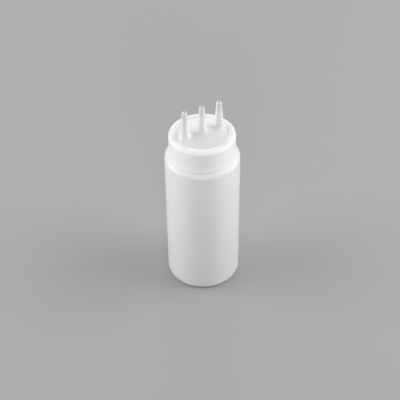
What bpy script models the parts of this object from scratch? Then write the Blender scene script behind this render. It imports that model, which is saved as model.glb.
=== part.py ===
"""Three-nozzle squeeze dispenser bottle: a blow-moulded bottle, a screw ring and a nozzle insert.

Frame: +Z up, origin at the middle of the standing ring, nozzle row turned by ROW_ANGLE about +Z.
All lengths below are written in millimetres and turned into metres by mm().
"""

from math import cos, pi, radians, sin

import bmesh
import bpy

# ---- driving dimensions, millimetres ---------------------------------------------------------

SEGMENTS = 48  # facets round every large turned piece
NOZZLE_SEGMENTS = 24
GAP = 0.3  # clearance between pieces that touch

BODY_RADIUS = 35.0
WALL = 1.1
BASE_CORNER = 4.2
STANDING_INNER = 26.5  # inner radius of the flat standing ring
PUSH_UP = 3.0  # height of the hollow under the base
SHOULDER_TOP = 145.2
SHOULDER_ROUND = 6.65

NECK_RADIUS = 27.6
NECK_BORE = 25.6
NECK_TOP = 161.1

THREAD_PITCH = 25.4 / 6  # six turns per inch
THREAD_CREST = 1.0
THREAD_ROOT = 2.2
THREAD_BURIED = 0.5  # how far a thread's root runs into its wall
THREAD_FADE = 0.12  # turns over which each end of a thread rises out of its wall
NECK_THREAD_RADIUS = 28.8
NECK_THREAD_START = 150.0
NECK_THREAD_TURNS = 1.5
RING_THREAD_RADIUS = 28.1
RING_THREAD_TURNS = 1.25
RING_THREAD_LATER = 0.3  # turns by which the ring's thread starts after the neck's
RING_THREAD_BELOW = 1.75  # the ring's thread hangs this far below the neck's

GASKET_INNER = 24.4
GASKET_OUTER = 27.4
GASKET_THICK = 1.2

FLANGE_RADIUS = 28.9
FLANGE_THICK = 1.4
FLANGE_LOW = NECK_TOP + 2 * GAP + GASKET_THICK + GAP
FLANGE_TOP = FLANGE_LOW + FLANGE_THICK
HUB_RADIUS = 23.6
HUB_RIM = 166.5  # height where the low cone starts
HUB_EDGE = 0.2  # bevel of the hub's rim
CONE_TOP = 170.9
CONE_WALL = 1.5

RING_TOP = 166.9
RING_TOP_RADIUS = 30.8
RING_SKIRT_RADIUS = 31.0  # where the skirt starts to flare
RING_FLARE = 150.4
RING_FOOT_RADIUS = 32.0
RING_FOOT = 144.8  # lowest edge, just above the shoulder's curve
RING_EDGE_ROUND = 3.0
RING_BORE = 29.5
RING_HOLE = 23.9  # the hole that the insert's hub stands in
RING_DIP = 0.3  # fall of the ring's top face towards its hole
RING_BEAD = 28.5  # snap bead that holds the insert's flange
RING_CEILING = FLANGE_TOP + GAP  # underside of the ring's top

ROW_ANGLE = radians(26.4)
NOZZLE_SPACING = 17.25
NOZZLE_TIP = 195.3
NOZZLE_TIP_RADIUS = 2.4
NOZZLE_TAPER = 0.074  # radius gained per millimetre down the nozzle
NOZZLE_BORE_TIP = 0.9
NOZZLE_BORE_LAND = 3.0  # length of the straight bore at the tip
NOZZLE_BORE_TAPER = 0.074
RIDGE_TOP = 170.2  # the level ridge that joins the three nozzles
RIDGE_HALF_LENGTH = 16.5
RIDGE_SLOPE = 0.8  # fall of its two faces
RIDGE_FOOT = 167.0  # underside of the ridge, inside the cone

MATERIALS = {
    "bottle_plastic": ((0.80, 0.80, 0.79), 0.38),
    "ring_plastic": ((0.88, 0.88, 0.87), 0.34),
    "insert_plastic": ((0.72, 0.72, 0.71), 0.36),
    "gasket_foam": ((0.90, 0.90, 0.87), 0.75),
}


def mm(*values):
    """Millimetres to metres, for one value or several."""
    scaled = tuple(value * 0.001 for value in values)
    return scaled[0] if len(scaled) == 1 else scaled


# ---- scene, collections and materials --------------------------------------------------------

for old in list(bpy.data.objects):
    bpy.data.objects.remove(old, do_unlink=True)

parts = bpy.data.collections.new("three_nozzle_squeeze_bottle")
cutters = bpy.data.collections.new("cutters")
bpy.context.scene.collection.children.link(parts)
bpy.context.scene.collection.children.link(cutters)


def plastic(name):
    colour, roughness = MATERIALS[name]
    material = bpy.data.materials.new(name)
    material.use_nodes = True
    shader = material.node_tree.nodes["Principled BSDF"]
    shader.inputs["Base Color"].default_value = (*colour, 1.0)
    shader.inputs["Roughness"].default_value = roughness
    shader.inputs["Metallic"].default_value = 0.0
    return material


def add_part(name, mesh, material):
    part = bpy.data.objects.new(name, mesh)
    parts.objects.link(part)
    mesh.materials.append(plastic(material))
    mesh.shade_smooth()
    mesh.set_sharp_from_angle(angle=radians(35))
    return part


def add_cutter(name, mesh):
    cutter = bpy.data.objects.new(name, mesh)
    cutters.objects.link(cutter)
    cutter.hide_render = True
    cutter.display_type = "WIRE"
    return cutter


def join(part, tool, operation):
    step = part.modifiers.new(tool.name, "BOOLEAN")
    step.operation = operation
    step.solver = "EXACT"
    step.object = tool


# ---- outlines --------------------------------------------------------------------------------


def arc(centre_r, centre_z, radius, start, end, steps):
    """Points of an arc in the (radius, height) plane, angles in degrees from outwards."""
    points = []
    for i in range(steps + 1):
        angle = radians(start + (end - start) * i / steps)
        points.append((centre_r + radius * cos(angle), centre_z + radius * sin(angle)))
    return points


def outline_mesh(name, outline, closed):
    """A profile in the XZ plane, ready for a Screw modifier."""
    bm = bmesh.new()
    verts = [bm.verts.new(mm(r, 0.0, z)) for r, z in outline]
    for first, second in zip(verts, verts[1:]):
        bm.edges.new((first, second))
    if closed:
        bm.edges.new((verts[-1], verts[0]))
    mesh = bpy.data.meshes.new(name)
    bm.to_mesh(mesh)
    bm.free()
    return mesh


def turn(part, segments=SEGMENTS):
    step = part.modifiers.new("turned", "SCREW")
    step.axis = "Z"
    step.angle = 2 * pi
    step.steps = segments
    step.render_steps = segments
    step.use_merge_vertices = True
    step.merge_threshold = 0.00001
    step.use_smooth_shade = True


def bottle_outline():
    """Up the inside from the axis, over the lip, then down the outside to the axis."""
    shoulder_r = BODY_RADIUS - SHOULDER_ROUND
    shoulder_z = SHOULDER_TOP - SHOULDER_ROUND
    corner_r = BODY_RADIUS - BASE_CORNER
    inside = [(0.0, PUSH_UP + WALL)]
    inside += [(12.0, PUSH_UP * 0.8 + WALL), (STANDING_INNER - 5.0, WALL + 0.9), (corner_r - 2.0, WALL)]
    inside += arc(corner_r, BASE_CORNER, BASE_CORNER - WALL, -90, 0, 4)
    inside += arc(shoulder_r, shoulder_z, SHOULDER_ROUND - WALL, 0, 80, 5)
    inside += [(NECK_BORE, SHOULDER_TOP - WALL + 0.6)]
    lip = [(NECK_BORE, NECK_TOP - 0.4), (NECK_BORE + 0.4, NECK_TOP)]
    lip += [(NECK_RADIUS - 0.4, NECK_TOP), (NECK_RADIUS, NECK_TOP - 0.4)]
    outside = [(NECK_RADIUS, SHOULDER_TOP + 0.4)]
    outside += arc(shoulder_r, shoulder_z, SHOULDER_ROUND, 84, 0, 7)
    outside += arc(corner_r, BASE_CORNER, BASE_CORNER, 0, -90, 6)
    outside += [(STANDING_INNER, 0.0), (STANDING_INNER - 3.5, 1.0), (12.0, PUSH_UP * 0.8), (0.0, PUSH_UP)]
    return inside + lip + outside


def ring_outline():
    """Outwards over the top face, down the skirt, then up the inside past the snap bead."""
    edge_r = RING_TOP_RADIUS - RING_EDGE_ROUND
    rim = RING_TOP - RING_DIP
    bead = FLANGE_LOW - GAP
    outline = [(RING_HOLE, rim - 0.2), (RING_HOLE + 0.2, rim)]
    outline += arc(edge_r, RING_TOP - RING_EDGE_ROUND, RING_EDGE_ROUND, 90, 0, 6)
    outline += [(RING_SKIRT_RADIUS, RING_FLARE), (RING_FOOT_RADIUS - 0.3, RING_FOOT + 2.8)]
    outline += [(RING_FOOT_RADIUS, RING_FOOT + 1.2), (RING_FOOT_RADIUS, RING_FOOT + 0.6)]
    outline += [(RING_FOOT_RADIUS - 0.15, RING_FOOT + 0.2), (RING_FOOT_RADIUS - 0.5, RING_FOOT)]
    outline += [(RING_FOOT_RADIUS - 0.9, RING_FOOT + 0.15), (RING_BORE + 0.4, RING_FOOT + 0.6)]
    outline += [(RING_BORE, RING_FOOT + 1.3)]
    outline += [(RING_BORE, bead - 1.9), (RING_BEAD, bead - 0.9), (RING_BEAD, bead - 0.5)]
    outline += [(RING_BORE - 0.2, bead), (RING_BORE, bead + 0.2)]
    outline += [(RING_BORE, RING_CEILING), (RING_HOLE, RING_CEILING)]
    return outline


# ---- threads ---------------------------------------------------------------------------------


def thread_mesh(name, wall, crest, start_z, start_turn, turns):
    """A right-handed thread standing on a wall of radius wall, inwards or outwards to crest."""
    steps = round(turns * SEGMENTS)
    outward = 1.0 if crest > wall else -1.0
    bm = bmesh.new()
    sections = []
    for i in range(steps + 1):
        turned = turns * i / steps
        rise = min(1.0, turned / THREAD_FADE, (turns - turned) / THREAD_FADE)
        low = wall - outward * THREAD_BURIED
        high = wall - outward * 0.2 + (crest - wall + outward * 0.2) * rise
        angle = 2 * pi * (start_turn + turned)
        height = start_z + THREAD_PITCH * (start_turn + turned)
        section = []
        for radius, lift in (
            (low, -THREAD_ROOT / 2),
            (high, -THREAD_CREST / 2),
            (high, THREAD_CREST / 2),
            (low, THREAD_ROOT / 2),
        ):
            x, y, z = mm(radius * cos(angle), radius * sin(angle), height + lift)
            section.append(bm.verts.new((x, y, z)))
        sections.append(section)
    for first, second in zip(sections, sections[1:]):
        for a in range(4):
            b = (a + 1) % 4
            bm.faces.new((first[a], first[b], second[b], second[a]))
    bm.faces.new(sections[0])
    bm.faces.new(sections[-1])
    bmesh.ops.recalc_face_normals(bm, faces=bm.faces)
    mesh = bpy.data.meshes.new(name)
    bm.to_mesh(mesh)
    bm.free()
    return mesh


# ---- pieces ----------------------------------------------------------------------------------


def make_bottle():
    bottle = add_part("bottle_body", outline_mesh("bottle_body", bottle_outline(), False), "bottle_plastic")
    turn(bottle)
    thread = thread_mesh(
        "neck_thread", NECK_RADIUS, NECK_THREAD_RADIUS, NECK_THREAD_START, 0.0, NECK_THREAD_TURNS
    )
    join(bottle, add_cutter("neck_thread", thread), "UNION")


def make_ring():
    ring = add_part("screw_ring", outline_mesh("screw_ring", ring_outline(), True), "ring_plastic")
    turn(ring)
    thread = thread_mesh(
        "ring_thread",
        RING_BORE,
        RING_THREAD_RADIUS,
        NECK_THREAD_START - RING_THREAD_BELOW,
        RING_THREAD_LATER,
        RING_THREAD_TURNS,
    )
    join(ring, add_cutter("ring_thread", thread), "UNION")


def make_gasket():
    low = NECK_TOP + GAP
    high = low + GASKET_THICK
    outline = [(GASKET_INNER, high), (GASKET_OUTER, high), (GASKET_OUTER, low), (GASKET_INNER, low)]
    gasket = add_part("sealing_gasket", outline_mesh("sealing_gasket", outline, True), "gasket_foam")
    turn(gasket)


def insert_outline():
    """From the axis out under the flange, then back over the cone to the axis."""
    outline = [(0.0, FLANGE_LOW), (FLANGE_RADIUS, FLANGE_LOW), (FLANGE_RADIUS, FLANGE_TOP)]
    outline += [(HUB_RADIUS, FLANGE_TOP), (HUB_RADIUS, HUB_RIM - HUB_EDGE)]
    outline += [(HUB_RADIUS - HUB_EDGE, HUB_RIM), (0.0, CONE_TOP)]
    return outline


def hollow_outline():
    """The space under the cone, open downwards."""
    inner = HUB_RADIUS - CONE_WALL
    below = FLANGE_LOW - 1.0
    return [(0.0, CONE_TOP - CONE_WALL), (inner, HUB_RIM - CONE_WALL), (inner, below), (0.0, below)]


def ridge_mesh(name):
    """A roof along the row of nozzles, its underside buried in the cone."""
    across = (RIDGE_TOP - RIDGE_FOOT) / RIDGE_SLOPE
    bm = bmesh.new()
    ends = []
    for along in (-RIDGE_HALF_LENGTH, RIDGE_HALF_LENGTH):
        points = ((along, -across, RIDGE_FOOT), (along, 0.0, RIDGE_TOP), (along, across, RIDGE_FOOT))
        ends.append([bm.verts.new(mm(*point)) for point in points])
    bm.faces.new(ends[0])
    bm.faces.new(ends[1])
    for a in range(3):
        b = (a + 1) % 3
        bm.faces.new((ends[0][a], ends[0][b], ends[1][b], ends[1][a]))
    bmesh.ops.recalc_face_normals(bm, faces=bm.faces)
    mesh = bpy.data.meshes.new(name)
    bm.to_mesh(mesh)
    bm.free()
    return mesh


def nozzle_outline(foot):
    """From the axis at the tip, down the tapered outside to the foot, back to the axis."""
    return [
        (0.0, NOZZLE_TIP),
        (NOZZLE_TIP_RADIUS - 0.4, NOZZLE_TIP),
        (NOZZLE_TIP_RADIUS, NOZZLE_TIP - 0.5),
        (NOZZLE_TIP_RADIUS + NOZZLE_TAPER * (NOZZLE_TIP - foot), foot),
        (0.0, foot),
    ]


def bore_outline(foot):
    """The tapered bore of one nozzle, longer than the nozzle at both ends."""
    mouth = foot - 3.0
    return [
        (0.0, NOZZLE_TIP + 1.0),
        (NOZZLE_BORE_TIP, NOZZLE_TIP + 1.0),
        (NOZZLE_BORE_TIP, NOZZLE_TIP - NOZZLE_BORE_LAND),
        (NOZZLE_BORE_TIP + NOZZLE_BORE_TAPER * (NOZZLE_TIP - NOZZLE_BORE_LAND - mouth), mouth),
        (0.0, mouth),
    ]


def add_nozzle_tools(insert, operation, outline, label):
    """One turned tool at each place of the row, joined to or cut from the insert."""
    for place in (-1, 0, 1):
        foot = HUB_RIM + 0.2 if place else RIDGE_TOP - 0.7
        name = f"{label}_{place + 2}"
        tool = add_cutter(name, outline_mesh(name, outline(foot), False))
        along = place * NOZZLE_SPACING
        tool.location = mm(along * cos(ROW_ANGLE), along * sin(ROW_ANGLE), 0.0)
        turn(tool, NOZZLE_SEGMENTS)
        join(insert, tool, operation)


def make_insert():
    """The cone, its flange and the ridge, with three hollow nozzles standing in a row."""
    outline = outline_mesh("nozzle_insert", insert_outline(), False)
    insert = add_part("nozzle_insert", outline, "insert_plastic")
    insert.rotation_euler = (0.0, 0.0, ROW_ANGLE + pi / SEGMENTS)  # the ridge crosses facets mid-way
    turn(insert)
    ridge = add_cutter("ridge", ridge_mesh("ridge"))
    ridge.rotation_euler = (0.0, 0.0, ROW_ANGLE)
    join(insert, ridge, "UNION")
    add_nozzle_tools(insert, "UNION", nozzle_outline, "nozzle")
    hollow = add_cutter("hollow", outline_mesh("hollow", hollow_outline(), False))
    turn(hollow)
    join(insert, hollow, "DIFFERENCE")
    add_nozzle_tools(insert, "DIFFERENCE", bore_outline, "bore")


make_bottle()
make_gasket()
make_insert()
make_ring()
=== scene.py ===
"""Looks of a translucent squeeze dispenser bottle with three nozzles.

Fine meshes stand for the faceted CAD nodes, in the same places. Lengths are in millimetres and are
turned into metres when a mesh is made.
"""

from math import cos, pi, radians, sin

import bpy
import numpy as np
from mathutils import Matrix, Vector


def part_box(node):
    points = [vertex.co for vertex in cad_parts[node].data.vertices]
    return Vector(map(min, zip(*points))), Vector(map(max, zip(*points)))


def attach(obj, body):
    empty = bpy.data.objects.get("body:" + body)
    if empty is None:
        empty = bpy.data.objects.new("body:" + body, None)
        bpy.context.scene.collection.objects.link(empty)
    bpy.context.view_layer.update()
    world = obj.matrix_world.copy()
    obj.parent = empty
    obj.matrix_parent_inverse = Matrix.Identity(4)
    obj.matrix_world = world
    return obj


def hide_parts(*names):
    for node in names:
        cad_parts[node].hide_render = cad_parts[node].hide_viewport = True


MM = 0.001

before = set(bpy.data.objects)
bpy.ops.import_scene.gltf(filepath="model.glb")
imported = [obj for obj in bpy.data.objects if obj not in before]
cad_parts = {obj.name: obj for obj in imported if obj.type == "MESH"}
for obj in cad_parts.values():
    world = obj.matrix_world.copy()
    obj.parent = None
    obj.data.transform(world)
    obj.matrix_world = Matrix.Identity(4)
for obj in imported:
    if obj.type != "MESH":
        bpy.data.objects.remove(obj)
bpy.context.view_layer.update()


# ---- sizes read from the frame ---------------------------------------------------------------


def box_mm(node):
    low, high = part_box(node)
    return low / MM, high / MM


bottle_low, bottle_high = box_mm("bottle_body")
ring_low, ring_high = box_mm("screw_ring")
insert_low, insert_high = box_mm("nozzle_insert")
gasket_low, gasket_high = box_mm("sealing_gasket")

BODY_RADIUS = bottle_high.x
NECK_TOP = bottle_high.z
RING_FOOT_RADIUS = ring_high.x
RING_FOOT = ring_low.z
RING_TOP = ring_high.z
FLANGE_RADIUS = insert_high.x
FLANGE_LOW = insert_low.z
NOZZLE_TIP = insert_high.z
GASKET_OUTER = gasket_high.x
GASKET_TOP = gasket_high.z
GASKET_LOW = gasket_low.z

# ---- sizes that the boxes don't tell ---------------------------------------------------------

TURNED_SEGMENTS = 192
THREAD_GRID = 0.22  # spacing of the rows that carry a thread

WALL = 1.1
BASE_CORNER = 4.2
STANDING_INNER = 26.5
PUSH_UP = 3.0
SHOULDER_TOP = 145.2
SHOULDER_ROUND = 6.65
NECK_RADIUS = 27.6
NECK_BORE = 25.6

THREAD_PITCH = 25.4 / 6
THREAD_FADE = 0.12  # turns over which a thread's ends rise out of the wall
THREAD_CREST = 1.0
THREAD_ROOT = 2.2
NECK_THREAD_START = 150.0
NECK_THREAD_TURNS = 1.5
NECK_THREAD_HIGH = 1.15
RING_THREAD_BELOW = 1.75
RING_THREAD_LATER = 0.3
RING_THREAD_TURNS = 1.25
RING_THREAD_HIGH = 1.35

RING_BORE = 29.5
RING_HOLE = 23.9
RING_HOLE_ROUND = 0.15
RING_TOP_RADIUS = 30.8
RING_EDGE_ROUND = 3.0
RING_SKIRT_RADIUS = 31.0
RING_FLARE = 150.4  # height where the skirt starts to flare towards its foot
FLARE_STEPS = 8
RING_FOOT_ROUND = 0.45
RING_FOOT_LIP = 0.25  # the foot's rounding starts this much lower
RING_DIP = 0.3  # fall of the top face towards the hole
RING_BEAD = 28.5  # snap bead that holds the insert's flange
RING_CLEAR = 0.3  # between the insert's flange and the ring

GASKET_INNER = 24.4
GASKET_EDGE = 0.25

FLANGE_THICK = 1.4
HUB_RADIUS = 23.6
HUB_RIM = 166.5  # height where the low cone starts
HUB_SNUG = 0.22  # the drawn hub fills this much of the clearance round it
CONE_TOP = 170.9
CONE_WALL = 1.5
RIDGE_TOP = 170.2  # the level ridge that joins the three nozzles
RIDGE_SLOPE = 0.8
RIDGE_ROUND = 0.6  # the ridge's crest is rounded over this half-width
RIDGE_FILLET = 1.6

ROW_ANGLE = radians(26.4)
NOZZLE_SPACING = 17.25
NOZZLE_TIP_RADIUS = 2.4
NOZZLE_TAPER = 0.074
NOZZLE_BORE_TIP = 0.9
NOZZLE_BORE_LAND = 3.0  # length of the straight bore at the tip
NOZZLE_BORE_TAPER = 0.074

# how far roundings and fillets of the insert reach
TIP_ROUND = 0.8
NOZZLE_FILLET = 4.0
HUB_EDGE_ROUND = 0.15
FLANGE_EDGE_ROUND = 0.4
FLANGE_FILLET = 0.2
HOLLOW_ROUND = 0.8
MOUTH_ROUND = 0.25
CONE_NORMAL = 0.93  # turns a height above the cone into a distance from it
NOZZLE_ROOT = HUB_RIM - 1.0  # the nozzles' lowest point, buried in the cone
INSERT_GRID = 0.45  # cell size of the insert's mesh


# ---- mesh tools ------------------------------------------------------------------------------


def new_object(name, vertices, faces):
    mesh = bpy.data.meshes.new(name)
    mesh.from_pydata([tuple(v) for v in vertices], [], faces)
    mesh.validate()
    mesh.shade_smooth()
    piece = bpy.data.objects.new(name, mesh)
    bpy.context.scene.collection.objects.link(piece)
    return piece


def arc(centre_r, centre_z, radius, start, end, steps):
    """Points of an arc in the (radius, height) plane, angles in degrees from outwards."""
    points = []
    for i in range(steps + 1):
        angle = radians(start + (end - start) * i / steps)
        points.append((centre_r + radius * cos(angle), centre_z + radius * sin(angle)))
    return points


def stretch(first, last, step):
    """Points between two ends of a straight run, the ends left out."""
    length = ((last[0] - first[0]) ** 2 + (last[1] - first[1]) ** 2) ** 0.5
    count = max(1, round(length / step))
    return [
        (first[0] + (last[0] - first[0]) * i / count, first[1] + (last[1] - first[1]) * i / count)
        for i in range(1, count)
    ]


def turned(name, outline, closed, raise_wall=None):
    """A turned mesh. raise_wall(angle, radius, height) gives the radius after threads are added."""
    angles = [2 * pi * k / TURNED_SEGMENTS for k in range(TURNED_SEGMENTS)]
    vertices = []
    rows = []
    for radius, height in outline:
        if radius == 0.0:
            rows.append([len(vertices)] * TURNED_SEGMENTS)
            vertices.append(Vector((0.0, 0.0, height)) * MM)
            continue
        row = []
        for angle in angles:
            r = raise_wall(angle, radius, height) if raise_wall else radius
            row.append(len(vertices))
            vertices.append(Vector((r * cos(angle), r * sin(angle), height)) * MM)
        rows.append(row)
    pairs = list(zip(rows, rows[1:]))
    if closed:
        pairs.append((rows[-1], rows[0]))
    faces = []
    for upper, lower in pairs:
        for a in range(TURNED_SEGMENTS):
            b = (a + 1) % TURNED_SEGMENTS
            corners = [upper[a], lower[a], lower[b], upper[b]]
            faces.append(tuple(dict.fromkeys(corners)))
    return new_object(name, vertices, faces)


def thread_rise(angle, height, start_z, start_turn, turns):
    """How far a thread stands out at a point of its wall, from 0 to 1."""
    best = 0.0
    for whole in range(3):
        along = angle / (2 * pi) + whole - start_turn
        if not 0.0 < along < turns:
            continue
        offset = abs(height - start_z - THREAD_PITCH * (along + start_turn))
        flank = (THREAD_ROOT / 2 - offset) / (THREAD_ROOT / 2 - THREAD_CREST / 2)
        flank = min(1.0, max(0.0, flank))
        fade = min(1.0, along / THREAD_FADE, (turns - along) / THREAD_FADE)
        best = max(best, flank * flank * (3 - 2 * flank) * fade)
    return best


# ---- bottle ----------------------------------------------------------------------------------


def neck_wall(angle, radius, height):
    if abs(radius - NECK_RADIUS) > 0.01:
        return radius
    rise = thread_rise(angle, height, NECK_THREAD_START, 0.0, NECK_THREAD_TURNS)
    return radius + NECK_THREAD_HIGH * rise


def make_bottle():
    shoulder_r = BODY_RADIUS - SHOULDER_ROUND
    shoulder_z = SHOULDER_TOP - SHOULDER_ROUND
    corner_r = BODY_RADIUS - BASE_CORNER
    neck_foot = (NECK_RADIUS, SHOULDER_TOP + 0.7)
    neck_head = (NECK_RADIUS, NECK_TOP - 0.4)
    outline = [(0.0, PUSH_UP + WALL), (6.0, PUSH_UP * 0.96 + WALL), (12.0, PUSH_UP * 0.82 + WALL)]
    outline += [(18.0, PUSH_UP * 0.52 + WALL), (STANDING_INNER - 4.0, WALL + 0.75), (corner_r - 2.0, WALL)]
    outline += arc(corner_r, BASE_CORNER, BASE_CORNER - WALL, -90, 0, 8)
    outline += stretch((BODY_RADIUS - WALL, BASE_CORNER), (BODY_RADIUS - WALL, shoulder_z), 12.0)
    outline += arc(shoulder_r, shoulder_z, SHOULDER_ROUND - WALL, 0, 80, 12)
    outline += [(NECK_BORE + 0.3, SHOULDER_TOP - WALL + 0.3), (NECK_BORE, SHOULDER_TOP - WALL + 1.0)]
    outline += arc(NECK_BORE + 0.4, NECK_TOP - 0.4, 0.4, 180, 90, 3)
    outline += arc(NECK_RADIUS - 0.4, NECK_TOP - 0.4, 0.4, 90, 0, 3)
    outline += stretch(neck_head, neck_foot, THREAD_GRID) + [neck_foot]
    outline += [(NECK_RADIUS + 0.2, SHOULDER_TOP + 0.25)]
    outline += arc(shoulder_r, shoulder_z, SHOULDER_ROUND, 84, 0, 16)
    outline += stretch((BODY_RADIUS, shoulder_z), (BODY_RADIUS, BASE_CORNER), 6.0)
    outline += arc(corner_r, BASE_CORNER, BASE_CORNER, 0, -90, 12)
    outline += [(STANDING_INNER + 0.6, 0.0), (STANDING_INNER, 0.06), (STANDING_INNER - 1.2, 0.3)]
    outline += [(STANDING_INNER - 4.0, 0.8), (18.0, PUSH_UP * 0.52), (12.0, PUSH_UP * 0.82)]
    outline += [(6.0, PUSH_UP * 0.96), (0.0, PUSH_UP)]
    return turned("bottle_shell", outline, False, neck_wall)


# ---- screw ring ------------------------------------------------------------------------------


def ring_wall(angle, radius, height):
    if abs(radius - RING_BORE) > 0.01:
        return radius
    start = NECK_THREAD_START - RING_THREAD_BELOW
    rise = thread_rise(angle, height, start, RING_THREAD_LATER, RING_THREAD_TURNS)
    return radius - RING_THREAD_HIGH * rise


def make_ring():
    edge_r = RING_TOP_RADIUS - RING_EDGE_ROUND
    edge_z = RING_TOP - RING_EDGE_ROUND
    foot_r = RING_FOOT_RADIUS - RING_FOOT_ROUND
    foot_z = RING_FOOT + RING_FOOT_ROUND - RING_FOOT_LIP
    bore_low = (RING_BORE, RING_FOOT + 1.3)
    rim = RING_TOP - RING_DIP
    ceiling = FLANGE_LOW + FLANGE_THICK + RING_CLEAR
    bead = FLANGE_LOW - RING_CLEAR
    outline = arc(RING_HOLE + RING_HOLE_ROUND, rim - RING_HOLE_ROUND, RING_HOLE_ROUND, 180, 95, 4)
    outline += [(RING_HOLE + 2.0, rim + 0.12), (edge_r - 1.0, RING_TOP - 0.02)]
    outline += arc(edge_r, edge_z, RING_EDGE_ROUND, 90, 0, 14)
    outline += stretch((RING_TOP_RADIUS, edge_z), (RING_SKIRT_RADIUS, RING_FLARE), 3.0)
    for step in range(FLARE_STEPS):
        share = step / FLARE_STEPS
        swell = (RING_FOOT_RADIUS - RING_SKIRT_RADIUS) * (0.5 - 0.5 * cos(pi * share))
        outline.append((RING_SKIRT_RADIUS + swell, RING_FLARE + (foot_z - RING_FLARE) * share))
    outline += arc(foot_r, foot_z, RING_FOOT_ROUND, 0, -110, 8)
    outline += [(foot_r - 0.7, RING_FOOT + 0.02), (RING_BORE + 0.4, RING_FOOT + 0.45)]
    outline += [(RING_BORE + 0.1, RING_FOOT + 0.8), bore_low]
    outline += stretch(bore_low, (RING_BORE, bead - 2.0), THREAD_GRID)
    outline += [(RING_BORE, bead - 2.0), (RING_BEAD + 0.3, bead - 1.1), (RING_BEAD, bead - 0.8)]
    outline += [(RING_BEAD, bead - 0.5), (RING_BORE - 0.2, bead), (RING_BORE, bead + 0.2)]
    outline += [(RING_BORE, ceiling), (RING_HOLE + 3.0, ceiling)]
    outline += [(RING_HOLE + 0.2, ceiling), (RING_HOLE, ceiling + 0.15)]
    return turned("cap_ring_shell", outline, True, ring_wall)


# ---- gasket ----------------------------------------------------------------------------------


def make_gasket():
    inner = GASKET_INNER + GASKET_EDGE
    outer = GASKET_OUTER - GASKET_EDGE
    high = GASKET_TOP - GASKET_EDGE
    low = GASKET_LOW + GASKET_EDGE
    corners = ((inner, high, 180), (outer, high, 90), (outer, low, 0), (inner, low, -90))
    outline = []
    for centre_r, centre_z, start in corners:
        outline += arc(centre_r, centre_z, GASKET_EDGE, start, start - 90, 3)
    return turned("gasket_ring", outline, True)


# ---- nozzle insert, meshed from a distance field ---------------------------------------------


def smooth_min(a, b, reach):
    """Union of two fields with a fillet about reach wide."""
    mix = np.clip(0.5 + 0.5 * (b - a) / reach, 0.0, 1.0)
    return b + (a - b) * mix - reach * mix * (1.0 - mix)


def smooth_max(a, b, reach):
    return -smooth_min(-a, -b, reach)


def cone_height(r):
    """Height of the low cone at a distance r from its axis."""
    return CONE_TOP - (CONE_TOP - HUB_RIM) * r / HUB_RADIUS


def crown_height(x, y):
    """Height of the outer face: a low cone with a ridge along the row of nozzles."""
    beyond = np.maximum(np.abs(x) - NOZZLE_SPACING, 0.0)
    ridge = RIDGE_TOP + RIDGE_SLOPE * (RIDGE_ROUND - np.sqrt(y**2 + beyond**2 + RIDGE_ROUND**2))
    return smooth_max(cone_height(np.hypot(x, y)), ridge, RIDGE_FILLET)


def cone(x, y, z, place, tip_radius, taper, land=0.0):
    """Field of a tapered round bar at one place of the row, straight over its first land."""
    radius = tip_radius + taper * np.maximum(NOZZLE_TIP - land - z, 0.0)
    return (np.hypot(x - place * NOZZLE_SPACING, y) - radius) / np.sqrt(1 + taper**2)


def insert_field(x, y, z):
    """Signed distance, roughly, to the insert's skin: negative inside the plastic."""
    r = np.hypot(x, y)
    nozzles = None
    bores = None
    for place in (-1, 0, 1):
        outside = cone(x, y, z, place, NOZZLE_TIP_RADIUS, NOZZLE_TAPER)
        outside = smooth_max(outside, z - NOZZLE_TIP, TIP_ROUND)
        outside = np.maximum(outside, NOZZLE_ROOT - z)
        inside = cone(x, y, z, place, NOZZLE_BORE_TIP, NOZZLE_BORE_TAPER, NOZZLE_BORE_LAND)
        nozzles = outside if nozzles is None else np.minimum(nozzles, outside)
        bores = inside if bores is None else np.minimum(bores, inside)
    crown = smooth_min((z - crown_height(x, y)) * CONE_NORMAL, nozzles, NOZZLE_FILLET)
    hub = smooth_max(r - HUB_RADIUS - HUB_SNUG, crown, HUB_EDGE_ROUND)
    flange = smooth_max(r - FLANGE_RADIUS, z - FLANGE_LOW - FLANGE_THICK, FLANGE_EDGE_ROUND)
    solid = smooth_min(hub, flange, FLANGE_FILLET)
    ceiling = cone_height(r) - CONE_WALL
    hollow = smooth_max(r - HUB_RADIUS + CONE_WALL, (z - ceiling) * CONE_NORMAL, HOLLOW_ROUND)
    hollow = smooth_min(hollow, bores, HOLLOW_ROUND)
    solid = smooth_max(solid, -hollow, MOUTH_ROUND)
    return smooth_max(solid, FLANGE_LOW - z, MOUTH_ROUND)


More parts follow.
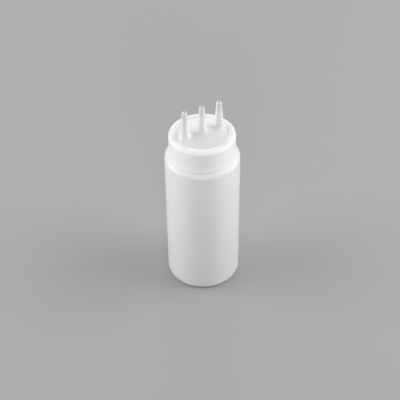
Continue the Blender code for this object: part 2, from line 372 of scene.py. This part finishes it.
def surface_net(field, low, high, step):
    """Vertices and quads of a field's zero surface: one vertex in each cell that it crosses."""
    counts = [int(round((high[k] - low[k]) / step)) + 1 for k in range(3)]
    axes = [low[k] + step * np.arange(counts[k]) for k in range(3)]
    values = field(*np.meshgrid(*axes, indexing="ij"))
    inside = values < 0
    cells = tuple(c - 1 for c in counts)
    total = np.zeros(cells + (3,))
    crossings = np.zeros(cells)
    corner = [(i, j, k) for i in (0, 1) for j in (0, 1) for k in (0, 1)]

    def part(array, offset):
        i, j, k = offset
        return array[i : i + cells[0], j : j + cells[1], k : k + cells[2]]

    for start in corner:
        for axis in range(3):
            if start[axis]:
                continue
            end = tuple(s + (1 if k == axis else 0) for k, s in enumerate(start))
            a, b = part(values, start), part(values, end)
            crossed = part(inside, start) != part(inside, end)
            share = np.where(crossed, a / np.where(crossed, a - b, 1.0), 0.0)
            for k in range(3):
                place = start[k] + (share if k == axis else 0.0)
                total[..., k] += np.where(crossed, place, 0.0)
            crossings += crossed
    used = crossings > 0
    number = np.full(cells, -1)
    number[used] = np.arange(used.sum())
    index = np.argwhere(used)
    points = np.array(low) + step * (index + total[used] / crossings[used][:, None])
    quads = []
    for axis in range(3):
        u, v = (axis + 1) % 3, (axis + 2) % 3
        first = [slice(1, c - 1) for c in counts]
        first[axis] = slice(0, counts[axis] - 1)
        second = list(first)
        second[axis] = slice(1, counts[axis])
        a, b = inside[tuple(first)], inside[tuple(second)]
        where = np.argwhere(a != b) + [s.start for s in first]
        outward = a[tuple((where - [s.start for s in first]).T)]
        ring = []
        for du, dv in ((0, 0), (1, 0), (1, 1), (0, 1)):
            cell = where.copy()
            cell[:, u] -= du
            cell[:, v] -= dv
            ring.append(number[tuple(cell.T)])
        quad = np.stack(ring, axis=1)
        quad[~outward] = quad[~outward][:, ::-1]
        quads.append(quad)
    return points, np.concatenate(quads)


def settle(field, points, passes, probe):
    """Moves the points onto the zero surface along the field's gradient."""
    for _ in range(passes):
        x, y, z = points.T
        value = field(x, y, z)
        gradient = np.stack(
            [
                field(x + probe, y, z) - field(x - probe, y, z),
                field(x, y + probe, z) - field(x, y - probe, z),
                field(x, y, z + probe) - field(x, y, z - probe),
            ],
            axis=1,
        ) / (2 * probe)
        length2 = np.maximum((gradient**2).sum(1), 0.05)
        points = points - 0.8 * gradient * (value / length2)[:, None]
    return points


def make_insert():
    margin = 2 * INSERT_GRID
    low = (-FLANGE_RADIUS - margin, -FLANGE_RADIUS - margin, FLANGE_LOW - margin)
    high = (FLANGE_RADIUS + margin, FLANGE_RADIUS + margin, NOZZLE_TIP + margin)
    points, quads = surface_net(insert_field, low, high, INSERT_GRID)
    points = settle(insert_field, points, 4, 0.05)
    points[:, 2] = np.clip(points[:, 2], FLANGE_LOW, NOZZLE_TIP)
    turn = np.array([[cos(ROW_ANGLE), sin(ROW_ANGLE)], [-sin(ROW_ANGLE), cos(ROW_ANGLE)]])
    points[:, :2] = points[:, :2] @ turn
    return new_object("nozzle_insert_shell", points * MM, quads.tolist())


# ---- materials -------------------------------------------------------------------------------

TONE_HEIGHT = 200.0  # height at the far end of the tone ramps
POLYETHYLENE_IOR = 1.51
CLOUD_SCALE = 38.0  # texture scales, in cells per metre
PATCH_SCALE = 120.0
SKIN_SCALE = 900.0
GLOSS_SPREAD = 0.06
SKIN_DEPTH = 0.0001


def moulded(name, colour, shade, roughness, subsurface, scatter, grain, painted_shade):
    """Translucent moulded plastic: cloudy colour, uneven gloss, a fine skin on the surface and painted
    shade by height.

    painted_shade lists (height, tone) stops in millimetres: painted shade that greys the wall where less
    light gets in.
    """
    material = bpy.data.materials.new(name)
    material.use_nodes = True
    nodes = material.node_tree.nodes
    links = material.node_tree.links
    shader = nodes["Principled BSDF"]
    shader.inputs["IOR"].default_value = POLYETHYLENE_IOR
    shader.inputs["Subsurface Weight"].default_value = subsurface
    shader.inputs["Subsurface Radius"].default_value = (1.0, 1.0, 1.0)
    shader.inputs["Subsurface Scale"].default_value = scatter
    spot = nodes.new("ShaderNodeTexCoord")

    cloud = nodes.new("ShaderNodeTexNoise")
    cloud.inputs["Scale"].default_value = CLOUD_SCALE
    cloud.inputs["Detail"].default_value = 3.0
    links.new(spot.outputs["Object"], cloud.inputs["Vector"])
    tint = nodes.new("ShaderNodeMix")
    tint.data_type = "RGBA"
    tint.inputs["A"].default_value = (*shade, 1.0)
    tint.inputs["B"].default_value = (*colour, 1.0)
    links.new(cloud.outputs["Fac"], tint.inputs["Factor"])
    # painted shade: the colour is scaled down by height, greyer where less light gets in
    height = nodes.new("ShaderNodeSeparateXYZ")
    links.new(spot.outputs["Object"], height.inputs["Vector"])
    share = nodes.new("ShaderNodeMapRange")
    share.inputs["From Max"].default_value = TONE_HEIGHT * MM
    links.new(height.outputs["Z"], share.inputs["Value"])
    tone = nodes.new("ShaderNodeValToRGB")
    stops = tone.color_ramp.elements
    stops.remove(stops[1])
    for level, value in painted_shade:
        stop = stops.new(level / TONE_HEIGHT) if level else stops[0]
        stop.color = (value, value, value, 1.0)
    links.new(share.outputs["Result"], tone.inputs["Fac"])
    shaded = nodes.new("ShaderNodeVectorMath")
    shaded.operation = "SCALE"
    links.new(tint.outputs["Result"], shaded.inputs["Vector"])
    links.new(tone.outputs["Color"], shaded.inputs["Scale"])
    links.new(shaded.outputs["Vector"], shader.inputs["Base Color"])

    patch = nodes.new("ShaderNodeTexNoise")
    patch.inputs["Scale"].default_value = PATCH_SCALE
    patch.inputs["Detail"].default_value = 4.0
    links.new(spot.outputs["Object"], patch.inputs["Vector"])
    gloss = nodes.new("ShaderNodeMapRange")
    gloss.inputs["To Min"].default_value = roughness - GLOSS_SPREAD
    gloss.inputs["To Max"].default_value = roughness + GLOSS_SPREAD
    links.new(patch.outputs["Fac"], gloss.inputs["Value"])
    links.new(gloss.outputs["Result"], shader.inputs["Roughness"])

    skin = nodes.new("ShaderNodeTexNoise")
    skin.inputs["Scale"].default_value = SKIN_SCALE
    skin.inputs["Detail"].default_value = 2.0
    links.new(spot.outputs["Object"], skin.inputs["Vector"])
    bump = nodes.new("ShaderNodeBump")
    bump.inputs["Strength"].default_value = grain
    bump.inputs["Distance"].default_value = SKIN_DEPTH
    links.new(skin.outputs["Fac"], bump.inputs["Height"])
    links.new(bump.outputs["Normal"], shader.inputs["Normal"])
    return material


def clothe(piece, material, body, node):
    piece.data.materials.clear()
    piece.data.materials.append(material)
    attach(piece, body)
    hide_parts(node)


MILKY = ((0.850, 0.850, 0.850), (0.819, 0.819, 0.819))
WHITE = ((0.94, 0.94, 0.94), (0.91, 0.91, 0.91))
# partly painted shade: the insert is greyer than the ring partly for its natural plastic and partly to
# darken its crown's front slope
NATURAL_AND_SHADE = ((0.84, 0.84, 0.84), (0.81, 0.81, 0.81))
FOAM = ((0.90, 0.90, 0.87), (0.84, 0.84, 0.81))
NO_PAINTED_SHADE = ((0.0, 1.0),)
# painted shade: the bottle's wall is painted darker towards its base
BODY_PAINTED_SHADE = ((0.0, 0.876), (20.0, 0.882), (75.0, 0.938), (130.0, 0.995), (150.0, 1.0))
# painted shade: the insert is painted greyer on its low crown, below about the ridge, and towards the
# nozzle tips
INSERT_PAINTED_SHADE = ((0.0, 0.955), (170.5, 0.955), (175.0, 1.0), (184.0, 1.0), (195.3, 0.86))

milky = moulded("milky_bottle", *MILKY, 0.34, 0.8, 0.0007, 0.12, BODY_PAINTED_SHADE)
white = moulded("white_ring", *WHITE, 0.32, 0.9, 0.001, 0.12, NO_PAINTED_SHADE)
natural_and_shade = moulded("natural_shaded_insert", *NATURAL_AND_SHADE, 0.34, 0.9, 0.0013, 0.12, INSERT_PAINTED_SHADE)
foam = moulded("gasket_foam", *FOAM, 0.75, 0.1, 0.0007, 0.6, NO_PAINTED_SHADE)

clothe(make_bottle(), milky, "bottle", "bottle_body")
clothe(make_ring(), white, "cap_ring", "screw_ring")
clothe(make_gasket(), foam, "nozzle_head", "sealing_gasket")
clothe(make_insert(), natural_and_shade, "nozzle_head", "nozzle_insert")


# ---- stage, light and camera -----------------------------------------------------------------

FLOOR_SIZE = 8.0
FLOOR_GREY = 0.388
ROOM_LIGHT = 0.25
CAMERA_LENS = 93.15
CAMERA_DISTANCE = 0.9906
CAMERA_ELEVATION = radians(41.47)
CAMERA_ROLL = radians(-0.736)
CAMERA_TARGET = Vector((-0.00266, 0.0, 0.08565))
LAMP_DISTANCE = 1.3
LAMP_TARGET = Vector((0.0, 0.0, 0.08))
SIDE_SIZE = (0.9, 0.45)
SMALL_SIZE = (0.7, 0.45)
SOFTBOXES = (
    ("left_low", -90, 12, SIDE_SIZE, 8.4),
    ("left_high", -90, 52, SIDE_SIZE, 3.1),
    ("right_low", 90, 12, SIDE_SIZE, 7.1),
    ("right_high", 90, 52, SIDE_SIZE, 5.3),
    ("front", 0, 20, SMALL_SIZE, 4.7),
    ("back", 180, 25, SMALL_SIZE, 2.9),
    ("back_left", -135, 30, SMALL_SIZE, 1.7),
    ("back_right", 135, 30, SMALL_SIZE, 1.7),
)


def make_floor():
    half = FLOOR_SIZE / 2
    corners = [(-half, -half, 0.0), (half, -half, 0.0), (half, half, 0.0), (-half, half, 0.0)]
    floor = new_object("floor", corners, [(0, 1, 2, 3)])
    material = bpy.data.materials.new("pale_floor")
    material.use_nodes = True
    shader = material.node_tree.nodes["Principled BSDF"]
    shader.inputs["Base Color"].default_value = (FLOOR_GREY, FLOOR_GREY, FLOOR_GREY, 1.0)
    shader.inputs["Roughness"].default_value = 0.9
    shader.inputs["Specular IOR Level"].default_value = 0.1
    floor.data.materials.append(material)


def softbox(name, azimuth, elevation, size, power):
    """A soft lamp aimed at the object. Azimuth is measured from the camera's side, to the right."""
    data = bpy.data.lights.new(name, "AREA")
    data.shape = "RECTANGLE"
    data.size, data.size_y = size
    data.energy = power
    lamp = bpy.data.objects.new(name, data)
    bpy.context.scene.collection.objects.link(lamp)
    flat = LAMP_DISTANCE * cos(radians(elevation))
    out = Vector((flat * sin(radians(azimuth)), -flat * cos(radians(azimuth)), 0.0))
    rise = LAMP_DISTANCE * sin(radians(elevation))
    lamp.location = LAMP_TARGET + out + Vector((0.0, 0.0, rise))
    lamp.rotation_euler = (LAMP_TARGET - lamp.location).to_track_quat("-Z", "Y").to_euler()
    lamp.visible_camera = False


def make_light():
    for facts in SOFTBOXES:
        softbox(*facts)
    world = bpy.data.worlds.new("soft_room")
    world.use_nodes = True
    background = world.node_tree.nodes["Background"]
    background.inputs["Color"].default_value = (1.0, 1.0, 1.0, 1.0)
    background.inputs["Strength"].default_value = ROOM_LIGHT
    bpy.context.scene.world = world
    bpy.context.scene.view_settings.view_transform = "Standard"


def make_camera():
    forward = Vector((0.0, cos(CAMERA_ELEVATION), -sin(CAMERA_ELEVATION)))
    level = Vector((1.0, 0.0, 0.0))
    up = level.cross(forward)
    right = level * cos(CAMERA_ROLL) + up * sin(CAMERA_ROLL)
    above = up * cos(CAMERA_ROLL) - level * sin(CAMERA_ROLL)
    data = bpy.data.cameras.new("camera")
    data.lens = CAMERA_LENS
    camera = bpy.data.objects.new("camera", data)
    bpy.context.scene.collection.objects.link(camera)
    turn = Matrix((right, above, -forward)).transposed()
    camera.matrix_world = Matrix.Translation(CAMERA_TARGET - forward * CAMERA_DISTANCE) @ turn.to_4x4()
    bpy.context.scene.camera = camera


make_floor()
make_light()
make_camera()
